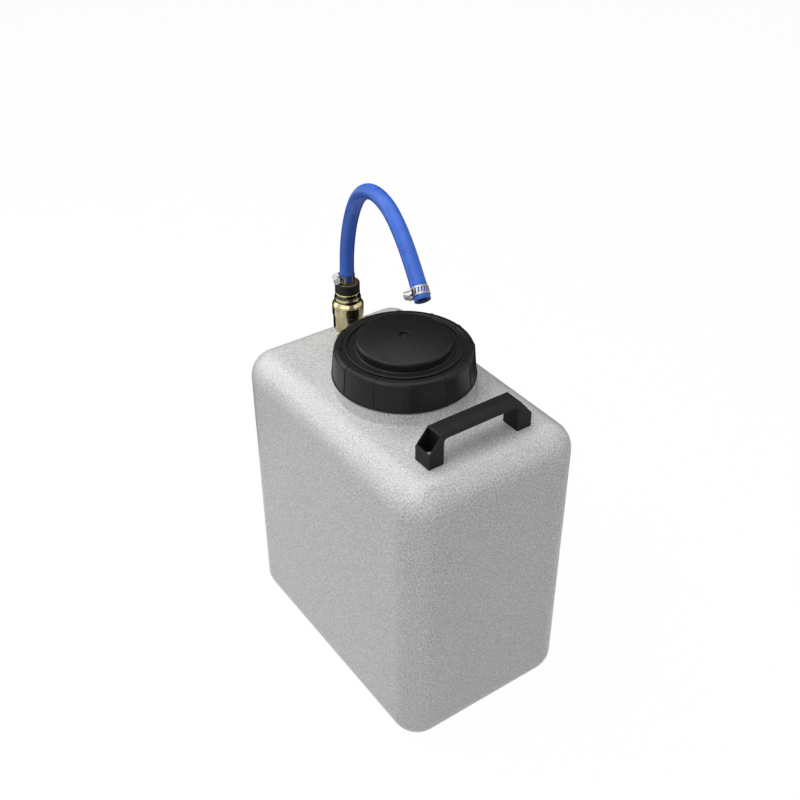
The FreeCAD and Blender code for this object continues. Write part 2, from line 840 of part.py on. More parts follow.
band_inner = hose_outer_radius + clamp_band_gap
band_outer = band_inner + clamp_band_thickness
tail_outer = band_outer + clamp_band_thickness
worm_x = tail_outer + clamp_worm_radius + clamp_band_gap


def make_band():
    """Slotted strip round the hose, its tail lying over it through the housing."""
    half = clamp_band_width / 2
    strip = ring(band_inner, band_outer, -half, half)
    corners = [(band_outer, -half), (tail_outer, -half), (tail_outer, half), (band_outer, half)]
    tail = Part.Face(closed_wire(corners, lambda p: Vector(p.x, 0, p.y)))
    tail = tail.revolve(Vector(0, 0, 0), Vector(0, 0, 1), clamp_tail_sweep)
    tail.rotate(Vector(0, 0, 0), Vector(0, 0, 1), clamp_tail_start)
    band = strip.fuse(tail)
    slots = []
    slot_depth = tail_outer - band_inner + 2 * cut_margin
    slot_pitch = clamp_slot_sweep / (clamp_slot_count - 1)
    for step in range(clamp_slot_count):
        corner = Vector(band_inner - cut_margin, -clamp_slot_width / 2, -clamp_slot_length / 2)
        slot = Part.makeBox(slot_depth, clamp_slot_width, clamp_slot_length, corner)
        slot.rotate(Vector(0, 0, 0), Vector(1, 0, 0), clamp_slot_lean)
        slot.rotate(Vector(0, 0, 0), Vector(0, 0, 1), clamp_slot_start + step * slot_pitch)
        slots.append(slot)
    return band.cut(slots)


def housing_prism(shrink):
    """Arched tunnel over the worm as a prism along Y, drawn in by shrink."""
    wide = clamp_housing_width / 2 - shrink
    narrow = clamp_worm_radius + 2 * clamp_band_gap + clamp_housing_wall - shrink
    top = worm_x + clamp_worm_radius + 2 * clamp_band_gap + clamp_housing_wall - shrink
    knee = tail_outer + clamp_knee_height - shrink
    corners = [
        (band_inner, -wide),
        (knee, -wide),
        (knee + clamp_knee_slope, -narrow),
        (top, -narrow, narrow * clamp_arch_share),
        (top, narrow, narrow * clamp_arch_share),
        (knee + clamp_knee_slope, narrow),
        (knee, wide),
        (band_inner, wide),
    ]
    start = -clamp_housing_length / 2 - shrink
    wire = closed_wire(corners, lambda p: Vector(p.x, start, p.y))
    return Part.Face(wire).extrude(Vector(0, clamp_housing_length + 2 * shrink, 0))


def make_housing():
    """Pressed cover that holds the worm down on the band's tail."""
    cover = housing_prism(0.0).cut(housing_prism(clamp_housing_wall))
    return cover.cut(disc(tail_outer, -clamp_housing_width, clamp_housing_width))


def make_worm():
    """Clamp screw: worm, round flange and slotted hexagon head, its head on the +Y side."""
    half = clamp_housing_length / 2
    seat = half + clamp_head_gap
    head_low = seat + clamp_flange_thickness
    head_high = head_low + clamp_head_height
    start = Vector(worm_x, -half - clamp_worm_stub, 0)
    worm = Part.makeCylinder(clamp_worm_radius, head_low - start.y, start, Vector(0, 1, 0))
    place = Vector(worm_x, seat, 0)
    flange = Part.makeCylinder(clamp_head_radius, clamp_flange_thickness, place, Vector(0, 1, 0))
    head = hexagon(clamp_head_across, 0, clamp_head_height)
    head.rotate(Vector(0, 0, 0), Vector(1, 0, 0), -90)
    head.translate(Vector(worm_x, head_low, 0))
    corner = Vector(worm_x - clamp_head_radius, head_high - clamp_driver_depth, -clamp_driver_slot / 2)
    slot_height = clamp_driver_depth + cut_margin
    slot = Part.makeBox(2 * clamp_head_radius, slot_height, clamp_driver_slot, corner)
    return worm.fuse([flange, head]).cut(slot).removeSplitter()


def clamp_place(centre, along, housing_side):
    """Placement that puts local Z along the hose and local X towards the housing."""
    upward = Vector(along).normalize()
    side = Vector(housing_side)
    side = (side - upward * side.dot(upward)).normalize()
    across = upward.cross(side)
    frame = FreeCAD.Matrix(
        side.x, across.x, upward.x, centre.x,
        side.y, across.y, upward.y, centre.y,
        side.z, across.z, upward.z, centre.z,
        0, 0, 0, 1,
    )
    return FreeCAD.Placement(frame)


def save_clamp(name, place):
    """Write the three pieces of one clamp."""
    pieces = (("band", make_band()), ("housing", make_housing()), ("screw", make_worm()))
    for piece, shape in pieces:
        shape.Placement = place
        save(name + "_" + piece, shape)


# Dip tube and strainer

strainer_low_z = tank_wall + strainer_floor_gap
strainer_top_z = strainer_low_z + strainer_height
dip_tube_radius = dip_tube_bore_radius + dip_tube_wall
flange_low_z = ceiling_z - stem_seal_thickness - stem_flange_thickness


def make_dip_tube():
    """Straight tube from the stem's tail down into the strainer."""
    low = strainer_top_z - strainer_socket_depth + moving_gap
    high = flange_low_z - dip_tube_top_gap
    return ring(dip_tube_bore_radius, dip_tube_radius, low, high, coupling_foot)


def make_strainer():
    """Slotted cage with a closed floor and a socket for the dip tube."""
    socket_radius = dip_tube_radius + strainer_wall
    inner = strainer_radius - strainer_wall
    floor_z = strainer_low_z + strainer_wall
    shoulder_z = strainer_top_z - strainer_rim_height
    stop_z = strainer_top_z - strainer_socket_depth
    cage = turned([
        (0, strainer_low_z),
        (strainer_radius, strainer_low_z, strainer_foot_fillet),
        (strainer_radius, shoulder_z, strainer_top_fillet),
        (socket_radius, shoulder_z),
        (socket_radius, strainer_top_z),
        (dip_tube_radius, strainer_top_z),
        (dip_tube_radius, stop_z),
        (dip_tube_bore_radius, stop_z),
        (dip_tube_bore_radius, stop_z - strainer_wall),
        (inner, stop_z - strainer_wall),
        (inner, floor_z),
        (0, floor_z),
    ], coupling_foot)
    slots = []
    for step in range(strainer_slots):
        corner = Vector(inner - cut_margin, -strainer_slot_width / 2, floor_z)
        slot_depth = strainer_wall + 2 * cut_margin
        slot = Part.makeBox(slot_depth, strainer_slot_width, strainer_slot_length, corner)
        slot.rotate(Vector(0, 0, 0), Vector(0, 0, 1), step * 360.0 / strainer_slots)
        slot.translate(coupling_foot)
        slots.append(slot)
    return cage.cut(slots)


save("tank_shell", make_tank())
save("screw_cap", make_cap())
save("cap_gasket", make_gasket())
save("carry_handle", make_handle())
save("handle_screws", make_screws())
save("handle_washers", make_washers())
save("handle_inserts", make_inserts())
save("roof_stem", make_stem())
lower_seal, upper_seal = make_stem_seals()
save("stem_lower_seal", lower_seal)
save("stem_upper_seal", upper_seal)
save("coupling_socket", make_socket())
save("locking_balls", make_balls())
save("nose_ring", make_nose_ring())
save("locking_sleeve", make_sleeve())
save("sleeve_spring", make_spring())
save("hose_plug", make_plug())
save("plug_collar", make_plug_collar())
save("plug_o_ring", make_plug_ring())
save("hose", make_hose())
heading = math.radians(lower_clamp_heading)
lower_centre = hose_exit + Vector(0, 0, lower_clamp_rise)
lower_side = Vector(math.cos(heading), math.sin(heading), 0)
save_clamp("lower_clamp", clamp_place(lower_centre, Vector(0, 0, 1), lower_side))
end_centre = hose_end - hose_end_run * end_clamp_inset
save_clamp("end_clamp", clamp_place(end_centre, hose_end_run * -1, end_clamp_side))
save("dip_tube", make_dip_tube())
save("foot_strainer", make_strainer())
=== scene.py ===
# %% [markdown]
# # A portable fresh water tank
# The real object is a rotation moulded canister: white polyethylene, a black screw
# cap, a bridge handle, and a brass quick coupling with a short blue hose. Its solids
# come ready made at their real size. This lesson dresses them: it sets up the camera
# and the light, gives every piece its finish, and makes the pieces that need a finer
# surface than their solid has: the hose, the clamps' bands, the coupling's spring,
# the threads and a bead on the cap.

# %% Load the frame
import math
import bpy
import numpy as np
from mathutils import Matrix, Vector


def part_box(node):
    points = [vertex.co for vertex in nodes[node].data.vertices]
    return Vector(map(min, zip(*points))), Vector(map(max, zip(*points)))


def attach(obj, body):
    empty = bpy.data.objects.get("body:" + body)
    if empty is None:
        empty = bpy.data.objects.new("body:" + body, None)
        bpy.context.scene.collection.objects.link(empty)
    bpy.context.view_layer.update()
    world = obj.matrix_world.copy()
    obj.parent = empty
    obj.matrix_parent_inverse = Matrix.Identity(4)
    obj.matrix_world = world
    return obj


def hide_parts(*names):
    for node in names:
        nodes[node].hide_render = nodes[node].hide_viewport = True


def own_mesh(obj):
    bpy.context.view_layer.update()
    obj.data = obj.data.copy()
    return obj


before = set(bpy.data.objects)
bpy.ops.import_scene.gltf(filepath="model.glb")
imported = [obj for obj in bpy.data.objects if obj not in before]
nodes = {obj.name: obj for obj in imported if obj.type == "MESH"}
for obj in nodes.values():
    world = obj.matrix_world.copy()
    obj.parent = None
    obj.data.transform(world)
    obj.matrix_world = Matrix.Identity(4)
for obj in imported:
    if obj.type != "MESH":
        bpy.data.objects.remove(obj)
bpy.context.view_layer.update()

# %% [markdown]
# ## Where things are
# The boxes of the solids give the places that several pieces share. Numbers typed in
# would go stale when a solid changes, while a box follows it. The coupling's axis is
# the middle of the socket's box, and the hose starts on the plug's flange, which is
# the lowest face of the hose's solid.

# %% Places taken from the solids
tank_low, tank_high = (np.array(c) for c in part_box("tank_shell"))
socket_low, socket_high = (np.array(c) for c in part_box("coupling_socket"))
coupling_x, coupling_y = ((socket_low + socket_high) / 2)[:2]
hose_exit = np.array([coupling_x, coupling_y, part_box("hose")[0][2]])
print("tank", np.round(tank_high - tank_low, 4), "hose starts at", np.round(hose_exit, 4))

# %% [markdown]
# ## The camera
# The photograph was taken from above, over one upright edge. The camera's place and
# focal length are the ones at which the tank's corners fall where they do in the
# picture. It is a plain perspective camera with no shift and no depth of field.

# %% Camera
camera_place = Vector((-0.54254, -0.76759, 0.98831))
camera_azimuth = math.radians(-34.99)
camera_elevation = math.radians(35.245)
camera_back = Vector((
    math.sin(camera_azimuth) * math.cos(camera_elevation),
    -math.cos(camera_azimuth) * math.cos(camera_elevation),
    math.sin(camera_elevation),
))
lens = bpy.data.cameras.new("camera")
lens.sensor_width = 36.0
lens.lens = 50.157
lens.clip_end = 20.0
camera = bpy.data.objects.new("camera", lens)
camera.location = camera_place
camera.rotation_euler = camera_back.to_track_quat("Z", "Y").to_euler()
bpy.context.scene.collection.objects.link(camera)
bpy.context.scene.camera = camera
print("camera looks along", [round(-c, 3) for c in camera_back])

# %% [markdown]
# ## The hose as a cord
# A short hose that leaves a vertical tail bends by its own weight and stiffness into
# one arch. The same few route points that make the hose's solid are the control
# points of a smooth spline here, so the two lie together. The spline is read back as
# a list of points, and the tube's surface is worked out from them.

# %% The hose's route
hose_route_mm = [
    (0.0, 0.0, 0.0),
    (0.0, 0.0, 25.1),
    (-1.5, -6.9, 58.1),
    (-4.5, -20.4, 88.8),
    (-8.7, -39.3, 114.8),
    (-14.3, -65.3, 131.5),
    (-20.9, -95.6, 137.6),
    (-27.6, -126.5, 132.8),
    (-36.1, -164.6, 109.8),
    (-45.0, -195.3, 84.2),
]
hose_route = hose_exit + np.array(hose_route_mm) / 1000.0


def spline_points(name, control):
    """Points along the smooth spline that has these control points."""
    curve = bpy.data.curves.new(name, "CURVE")
    curve.dimensions = "3D"
    curve.resolution_u = 16
    spline = curve.splines.new("NURBS")
    spline.points.add(len(control) - 1)
    spline.points.foreach_set("co", np.column_stack([control, np.ones(len(control))]).ravel())
    spline.order_u = 3
    spline.use_endpoint_u = True
    holder = bpy.data.objects.new(name, curve)
    line = bpy.data.meshes.new_from_object(holder)
    points = np.empty(len(line.vertices) * 3)
    line.vertices.foreach_get("co", points)
    bpy.data.objects.remove(holder)
    bpy.data.curves.remove(curve)
    bpy.data.meshes.remove(line)
    return points.reshape(-1, 3)


hose_line = spline_points("hose_line", hose_route)
hose_steps = np.linalg.norm(np.diff(hose_line, axis=0), axis=1)
print("hose line", len(hose_line), "points, length", round(hose_steps.sum(), 4))


# %% [markdown]
# ## Surfaces from numbers
# Most new pieces are a ring of points carried along a path, or a small profile
# carried along a helix. Both are grids: rows along the path and columns round the
# section. One helper turns such a grid into a mesh, which is closed when its rows
# join round or its two ends are capped.

# %% Grid to mesh
def grid_mesh(name, grid, wrap_rows=False, wrap_columns=True, cap_ends=False):
    """Quads between neighbouring rows and columns of a grid of points, joined round where asked."""
    rows, columns = grid.shape[:2]
    index = np.arange(rows * columns).reshape(rows, columns)
    ahead = np.roll(index, -1, axis=0) if wrap_rows else index[1:]
    here = index if wrap_rows else index[:-1]
    right = np.roll(here, -1, axis=1) if wrap_columns else here[:, 1:]
    ahead_right = np.roll(ahead, -1, axis=1) if wrap_columns else ahead[:, 1:]
    if not wrap_columns:
        here, ahead = here[:, :-1], ahead[:, :-1]
    faces = np.stack([here, right, ahead_right, ahead], axis=-1).reshape(-1, 4).tolist()
    if cap_ends:
        faces += [index[0, ::-1].tolist(), index[-1].tolist()]
    mesh = bpy.data.meshes.new(name)
    mesh.from_pydata(grid.reshape(-1, 3), [], faces)
    mesh.polygons.foreach_set("use_smooth", np.ones(len(mesh.polygons), dtype=bool))
    return mesh


def add_piece(name, mesh, material, body):
    """Puts a mesh into the scene with its finish, riding on a body."""
    mesh.update()
    mesh.materials.append(material)
    piece = bpy.data.objects.new(name, mesh)
    bpy.context.scene.collection.objects.link(piece)
    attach(piece, body)
    print(name, "faces", len(mesh.polygons), "on", body)
    return piece


# %% [markdown]
# ## Finishes
# Each finish is a small node tree on object coordinates, so it sits still on the
# piece and has its real grain size. A picture wrapped round the piece would need
# seams and would blur close by. Values that are the same all over the surface are
# set on the shader itself.

# %% Helpers for node trees
noise_low, noise_high = 0.3, 0.7
along_z_only = (0.02, 0.02, 1.0)
finishes = {}


def start_finish(name, colour, roughness, metallic=0.0):
    """New material with its shader set to plain values; returns the tree's handles."""
    material = bpy.data.materials.new(name)
    material.use_nodes = True
    tree = material.node_tree
    shader = tree.nodes["Principled BSDF"]
    shader.inputs["Base Color"].default_value = (*colour, 1.0)
    shader.inputs["Roughness"].default_value = roughness
    shader.inputs["Metallic"].default_value = metallic
    place = tree.nodes.new("ShaderNodeTexCoord").outputs["Object"]
    return material, tree, shader, place


def noise(tree, place, scale, detail=2.0, stretch=(1.0, 1.0, 1.0)):
    """Noise whose features are about one over scale metres wide, stretched along the axes."""
    mapping = tree.nodes.new("ShaderNodeMapping")
    mapping.inputs["Scale"].default_value = stretch
    texture = tree.nodes.new("ShaderNodeTexNoise")
    texture.inputs["Scale"].default_value = scale
    texture.inputs["Detail"].default_value = detail
    tree.links.new(place, mapping.inputs["Vector"])
    tree.links.new(mapping.outputs["Vector"], texture.inputs["Vector"])
    return texture.outputs["Fac"]


def ramp(tree, value, low, high, low_colour, high_colour):
    """Colour that goes from one to another while the value goes from low to high."""
    band = tree.nodes.new("ShaderNodeValToRGB")
    band.color_ramp.elements[0].position = low
    band.color_ramp.elements[1].position = high
    band.color_ramp.elements[0].color = (*low_colour, 1.0)
    band.color_ramp.elements[1].color = (*high_colour, 1.0)
    tree.links.new(value, band.inputs["Fac"])
    return band.outputs["Color"]


def spread(tree, value, low, high):
    """Noise stretched so that its usual range runs between low and high."""
    scaled = tree.nodes.new("ShaderNodeMapRange")
    scaled.inputs["From Min"].default_value = noise_low
    scaled.inputs["From Max"].default_value = noise_high
    scaled.inputs["To Min"].default_value = low
    scaled.inputs["To Max"].default_value = high
    tree.links.new(value, scaled.inputs["Value"])
    return scaled.outputs["Result"]


def raise_grain(tree, shader, height, depth):
    """Bump of the given depth in metres from a height between 0 and 1."""
    bump = tree.nodes.new("ShaderNodeBump")
    bump.inputs["Distance"].default_value = depth
    bump.inputs["Strength"].default_value = 1.0
    tree.links.new(height, bump.inputs["Height"])
    tree.links.new(bump.outputs["Normal"], shader.inputs["Normal"])


def keep_finish(key, material):
    """Files a finish under the name that the pieces ask for it by."""
    finishes[key] = material
    print("finish", key, "nodes", len(material.node_tree.nodes))


# %% [markdown]
# ### Tank plastic
# Rotation moulded polyethylene is milky: light enters, spreads and comes out nearby.
# Its skin copies the oven mould's fine blasting, so it has a grain of well under a
# millimetre and faint cloudy patches where the wall is thicker. Subsurface scattering
# gives the milkiness, and three noises of different scale give the rest.

# %% Tank plastic
# The Mix node has a socket of each name for numbers, vectors and colours, so the ones
# for colours are found by their place in its lists.
mix_colour_a, mix_colour_b, mix_colour_result = 6, 7, 2


def tank_plastic():
    """Milky white with fine speckle, faint clouds and a blasted skin."""
    material, tree, shader, place = start_finish("tank_plastic", (0.68, 0.68, 0.675), 0.45)
    shader.inputs["Subsurface Weight"].default_value = 0.35
    shader.inputs["Subsurface Radius"].default_value = (1.0, 0.95, 0.85)
    shader.inputs["Subsurface Scale"].default_value = 0.009
    shader.inputs["IOR"].default_value = 1.5
    grain = noise(tree, place, scale=750.0, detail=3.0)
    specks = noise(tree, place, scale=1080.0, detail=0.0, stretch=(1.0, 1.0, 0.6))
    clouds = noise(tree, place, scale=18.0, detail=3.0)
    speckle = ramp(tree, specks, 0.36, 0.64, (0.51, 0.51, 0.505), (0.87, 0.87, 0.865))
    patch = ramp(tree, clouds, 0.35, 0.65, (0.97, 0.97, 0.97), (1.0, 1.0, 1.0))
    mix = tree.nodes.new("ShaderNodeMix")
    mix.data_type = "RGBA"
    mix.blend_type = "MULTIPLY"
    mix.inputs["Factor"].default_value = 1.0
    tree.links.new(speckle, mix.inputs[mix_colour_a])
    tree.links.new(patch, mix.inputs[mix_colour_b])
    tree.links.new(mix.outputs[mix_colour_result], shader.inputs["Base Color"])
    tree.links.new(spread(tree, clouds, 0.31, 0.37), shader.inputs["Roughness"])
    raise_grain(tree, shader, grain, depth=0.00001)
    return material


keep_finish("tank", tank_plastic())


# %% [markdown]
# ### Black mouldings
# The cap, the handle and the plug's collar are black plastic from a spark eroded
# mould: a fine matte grain that breaks the light into a soft grey sheen. The grain
# drives the bump and a little of the colour, so it shows in shade as well.

# %% Black mouldings
def black_moulding(name, colour, roughness, grain_scale, grain_depth):
    """Near black plastic with a matte grain and slightly uneven gloss."""
    material, tree, shader, place = start_finish(name, colour, roughness)
    shader.inputs["IOR"].default_value = 1.5
    shader.inputs["Specular IOR Level"].default_value = 0.18
    grain = noise(tree, place, grain_scale)
    wear = noise(tree, place, scale=60.0, detail=3.0)
    lighter = tuple(c * 1.5 for c in colour)
    darker = tuple(c * 0.75 for c in colour)
    tree.links.new(ramp(tree, grain, 0.35, 0.65, darker, lighter), shader.inputs["Base Color"])
    gloss = spread(tree, wear, roughness - 0.02, roughness + 0.03)
    tree.links.new(gloss, shader.inputs["Roughness"])
    raise_grain(tree, shader, grain, grain_depth)
    return material


keep_finish("cap", black_moulding("cap_plastic", (0.013, 0.0128, 0.0120), 0.34, 700.0, 0.00009))
keep_finish("handle", black_moulding("handle_plastic", (0.009, 0.009, 0.0088), 0.50, 1100.0, 0.00005))
keep_finish("collar", black_moulding("collar_plastic", (0.012, 0.012, 0.012), 0.45, 1500.0, 0.00002))


# %% [markdown]
# ### Turned brass
# The coupling is turned brass: bright, with hair-fine rings from the lathe. Rings
# cut as geometry would take far too many faces, so they are a bump from noise that
# varies along the turning axis and hardly at all across it.

# %% Turned brass
def turned_metal(name, colour, dark, roughness, ring_scale, depth):
    """Metal with fine rings across the Z axis and faint tarnish."""
    material, tree, shader, place = start_finish(name, colour, roughness, 1.0)
    rings = noise(tree, place, ring_scale, stretch=along_z_only)
    tarnish = noise(tree, place, scale=120.0, detail=4.0)
    tree.links.new(ramp(tree, tarnish, 0.35, 0.62, dark, colour), shader.inputs["Base Color"])
    gloss = spread(tree, tarnish, roughness + 0.08, roughness - 0.04)
    tree.links.new(gloss, shader.inputs["Roughness"])
    raise_grain(tree, shader, rings, depth)
    return material


keep_finish("brass", turned_metal(
    "brass", (0.58, 0.50, 0.30), (0.34, 0.29, 0.17), 0.16, ring_scale=2600.0, depth=0.000012,
))
# The plug's brass is a darker, duller copy of the brass: painted shade where its flange mirrors the
# dark surroundings.
keep_finish("plug_brass_painted_shade", turned_metal(
    "plug_brass_painted_shade", (0.34, 0.28, 0.16), (0.19, 0.155, 0.09), 0.34, ring_scale=1800.0, depth=0.00001,
))
keep_finish("inner_brass", turned_metal(
    "inner_brass", (0.70, 0.53, 0.26), (0.5, 0.36, 0.16), 0.3, ring_scale=1800.0, depth=0.00001,
))


# %% [markdown]
# ### The nose ring's painted reflections
# The stepped ring at the socket's mouth is dark metal with bright belts on its steps: painted
# reflection and painted shade in its colour. The belts follow the height, so a colour ramp over the
# ring's own height places them, with a stop at each edge of a bright or a dark belt.

# %% Nose ring with painted reflection belts
def belted_reflection_metal(name, node_name, bright, dark, stops):
    """Dark metal with painted bright belts of reflection at the given shares of the node's height."""
    material, tree, shader, place = start_finish(name, dark, 0.25, 1.0)
    low, high = (corner[2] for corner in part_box(node_name))
    along = tree.nodes.new("ShaderNodeSeparateXYZ")
    tree.links.new(place, along.inputs["Vector"])
    share = tree.nodes.new("ShaderNodeMapRange")
    share.inputs["From Min"].default_value = low
    share.inputs["From Max"].default_value = high
    tree.links.new(along.outputs["Z"], share.inputs["Value"])
    band = tree.nodes.new("ShaderNodeValToRGB")
    band.color_ramp.elements.remove(band.color_ramp.elements[1])
    band.color_ramp.elements[0].color = (*bright, 1.0)
    for position, is_bright in stops:
        element = band.color_ramp.elements.new(position)
        element.color = (*(bright if is_bright else dark), 1.0)
    tree.links.new(share.outputs["Result"], band.inputs["Fac"])
    tree.links.new(band.outputs["Color"], shader.inputs["Base Color"])
    tarnish = noise(tree, place, scale=300.0, detail=3.0)
    tree.links.new(spread(tree, tarnish, 0.32, 0.18), shader.inputs["Roughness"])
    rings = noise(tree, place, scale=2600.0, stretch=along_z_only)
    raise_grain(tree, shader, rings, depth=0.000012)
    return material


# Shares of the ring's height where painted bright reflection and painted dark shade begin and end.
reflection_belt_stops = [
    (0.30, True), (0.34, False), (0.42, False), (0.46, True),
    (0.58, True), (0.64, False), (0.88, False), (0.93, True),
]
keep_finish("ring_brass_painted_reflection", belted_reflection_metal(
    "ring_brass_painted_reflection", "nose_ring", bright=(0.58, 0.50, 0.28), dark=(0.07, 0.065, 0.055), stops=reflection_belt_stops,
))


# %% [markdown]
# ### Strip and plated steel
# The clamps are rolled stainless strip with zinc plated housings, and the handle's screws are bright
# plated steel. All have fine scratches in every direction. Plating that scatters light like a pale
# paint is only partly metallic here. The lower band's darker copy of the strip is painted shade and
# painted reflection, and the lighter copies for the lower clamp's housing and the screws are painted
# light.

# %% Rolled and plated steel
def rolled_metal(name, colour, roughness, metallic=1.0):
    """Bright strip or plating with fine scratches in every direction."""
    material, tree, shader, place = start_finish(name, colour, roughness, metallic)
    scratches = noise(tree, place, scale=2500.0)
    stain = noise(tree, place, scale=300.0, detail=3.0)
    darker = tuple(c * 0.8 for c in colour)
    tree.links.new(ramp(tree, stain, 0.35, 0.6, darker, colour), shader.inputs["Base Color"])
    tree.links.new(spread(tree, stain, roughness + 0.08, roughness), shader.inputs["Roughness"])
    raise_grain(tree, shader, scratches, depth=0.00001)
    return material


keep_finish("stainless", rolled_metal("stainless", (0.36, 0.36, 0.355), 0.34))
# A darker, brass tinted copy of the stainless for the lower band: painted shade and painted reflection
# of the brass beside it.
keep_finish("stainless_painted_shade", rolled_metal("stainless_painted_shade", (0.22, 0.20, 0.165), 0.26))
# Bright plated steel, made lighter and more matte than steel is so the screws show deep in the handle's
# pockets: partly painted light.
keep_finish("bright_steel_painted_light", rolled_metal("bright_steel_painted_light", (0.85, 0.85, 0.85), 0.30, metallic=0.6))
# A lighter, more matte copy of the zinc for the lower clamp's housing and screw: painted light.
keep_finish("zinc_painted_light", rolled_metal("zinc_painted_light", (0.86, 0.86, 0.855), 0.40, metallic=0.3))
keep_finish("zinc", rolled_metal("zinc", (0.62, 0.62, 0.615), 0.36, metallic=0.5))
keep_finish("spring_steel", rolled_metal("spring_steel", (0.55, 0.55, 0.56), 0.3))


# %% [markdown]
# ### Hose, rubber and inner plastics
# The hose is extruded soft plastic with a satin skin: a strong blue that is faintly cloudy. Its bore is
# painted a darker blue: painted shade for the little light that reaches it. Rubber is nearly black and
# dull, and the tube inside the tank is natural plastic.

# %% Soft finishes
def hose_plastic():
    """Saturated blue with faint cloudiness and a satin skin."""
    material, tree, shader, place = start_finish("hose_plastic", (0.05, 0.15, 0.64), 0.38)
    shader.inputs["IOR"].default_value = 1.5
    shader.inputs["Specular IOR Level"].default_value = 0.3
    clouds = noise(tree, place, scale=90.0, detail=3.0)
    skin = noise(tree, place, scale=1400.0)
    colour = ramp(tree, clouds, 0.35, 0.65, (0.040, 0.134, 0.59), (0.055, 0.168, 0.71))
    tree.links.new(colour, shader.inputs["Base Color"])
    tree.links.new(spread(tree, clouds, 0.33, 0.44), shader.inputs["Roughness"])
    raise_grain(tree, shader, skin, depth=0.00003)
    return material


def plain_soft(name, colour, roughness, grain_scale):
    """Rubber or natural plastic with a fine even grain."""
    material, tree, shader, place = start_finish(name, colour, roughness)
    grain = noise(tree, place, grain_scale)
    lighter = tuple(min(1.0, c * 1.15) for c in colour)
    darker = tuple(c * 0.85 for c in colour)
    tree.links.new(ramp(tree, grain, 0.35, 0.65, darker, lighter), shader.inputs["Base Color"])
    gloss = spread(tree, grain, roughness - 0.04, roughness + 0.04)
    tree.links.new(gloss, shader.inputs["Roughness"])
    raise_grain(tree, shader, grain, depth=0.00003)
    return material


keep_finish("hose", hose_plastic())
# The bore's dark blue is painted shade.
keep_finish("hose_bore_painted_shade", plain_soft("hose_bore_painted_shade", (0.014, 0.030, 0.105), 0.5, 900.0))
keep_finish("rubber", plain_soft("seal_rubber", (0.02, 0.02, 0.02), 0.6, 900.0))
keep_finish("tube", plain_soft("tube_plastic", (0.75, 0.77, 0.79), 0.4, 600.0))
keep_finish("strainer", plain_soft("strainer_plastic", (0.03, 0.07, 0.22), 0.45, 600.0))

# %% [markdown]
# ## A finish for every solid
# A solid that has the right shape keeps it and only gets a finish. The hose isn't
# listed, because a surface of its own stands for it further down.

# %% Give each node its own finish
node_finish = {
    "tank_shell": "tank",
    "screw_cap": "cap",
    "cap_gasket": "rubber",
    "carry_handle": "handle",
    "handle_screws": "bright_steel_painted_light",
    "handle_washers": "bright_steel_painted_light",
    "handle_inserts": "inner_brass",
    "roof_stem": "inner_brass",
    "stem_lower_seal": "rubber",
    "stem_upper_seal": "rubber",
    "coupling_socket": "brass",
    "locking_balls": "bright_steel_painted_light",
    "nose_ring": "ring_brass_painted_reflection",
    "locking_sleeve": "brass",
    "sleeve_spring": "spring_steel",
    "hose_plug": "plug_brass_painted_shade",
    "plug_collar": "collar",
    "plug_o_ring": "rubber",
    "lower_clamp_band": "stainless_painted_shade",
    "lower_clamp_housing": "zinc_painted_light",
    "lower_clamp_screw": "zinc_painted_light",
    "end_clamp_band": "stainless",
    "end_clamp_housing": "zinc",
    "end_clamp_screw": "zinc",
    "dip_tube": "tube",
    "foot_strainer": "strainer",
}
for node_name, finish_name in node_finish.items():
    mesh = nodes[node_name].data
    mesh.materials.clear()
    mesh.materials.append(finishes[finish_name])
print("solids with a finish", len(node_finish), "finishes", len(finishes))


# %% [markdown]
# ## Copies of a solid's surface
# A solid's mesh is loose triangles and is never changed. Where a piece needs the same
# form with something done to it, its corners are read out and those that lie on one
# another are joined, so that the copy is one closed surface.

# %% Triangles of a node
def node_triangles(node_name):
    """Corners and triangles of a node, with the corners that lie on one another joined."""
    source = nodes[node_name].data
    points = np.empty(len(source.vertices) * 3)
    source.vertices.foreach_get("co", points)
    corner = np.empty(len(source.loops), dtype=np.int64)
    source.loops.foreach_get("vertex_index", corner)
    joined, place = np.unique(np.round(points.reshape(-1, 3), 7), axis=0, return_inverse=True)
    triangles = place.ravel()[corner].reshape(-1, 3)
    whole = (triangles[:, 0] != triangles[:, 1]) & (triangles[:, 1] != triangles[:, 2])
    return joined, triangles[whole & (triangles[:, 2] != triangles[:, 0])]


def triangle_mesh(name, points, triangles, crease_degrees):
    """Mesh that is smooth but for edges sharper than the crease."""
    mesh = bpy.data.meshes.new(name)
    mesh.from_pydata(points, [], triangles.tolist())
    mesh.polygons.foreach_set("use_smooth", np.ones(len(mesh.polygons), dtype=bool))
    mesh.set_sharp_from_angle(angle=math.radians(crease_degrees))
    return mesh


# %% [markdown]
# ## The clamps' bands
# A worm drive band is a thin strip punched with slanted slots, through which the soft
# hose shows. The slots lean the way the photographed ones do when each band's solid is
# reflected in its own middle plane, which the strip's two flat edges give exactly. A
# negative scale would do the same, but it would leave the object scaled and inside out.

# %% Bands reflected in their middle plane
edge_facing = 0.98
band_crease = 30.0
no_zero_length = 1e-20


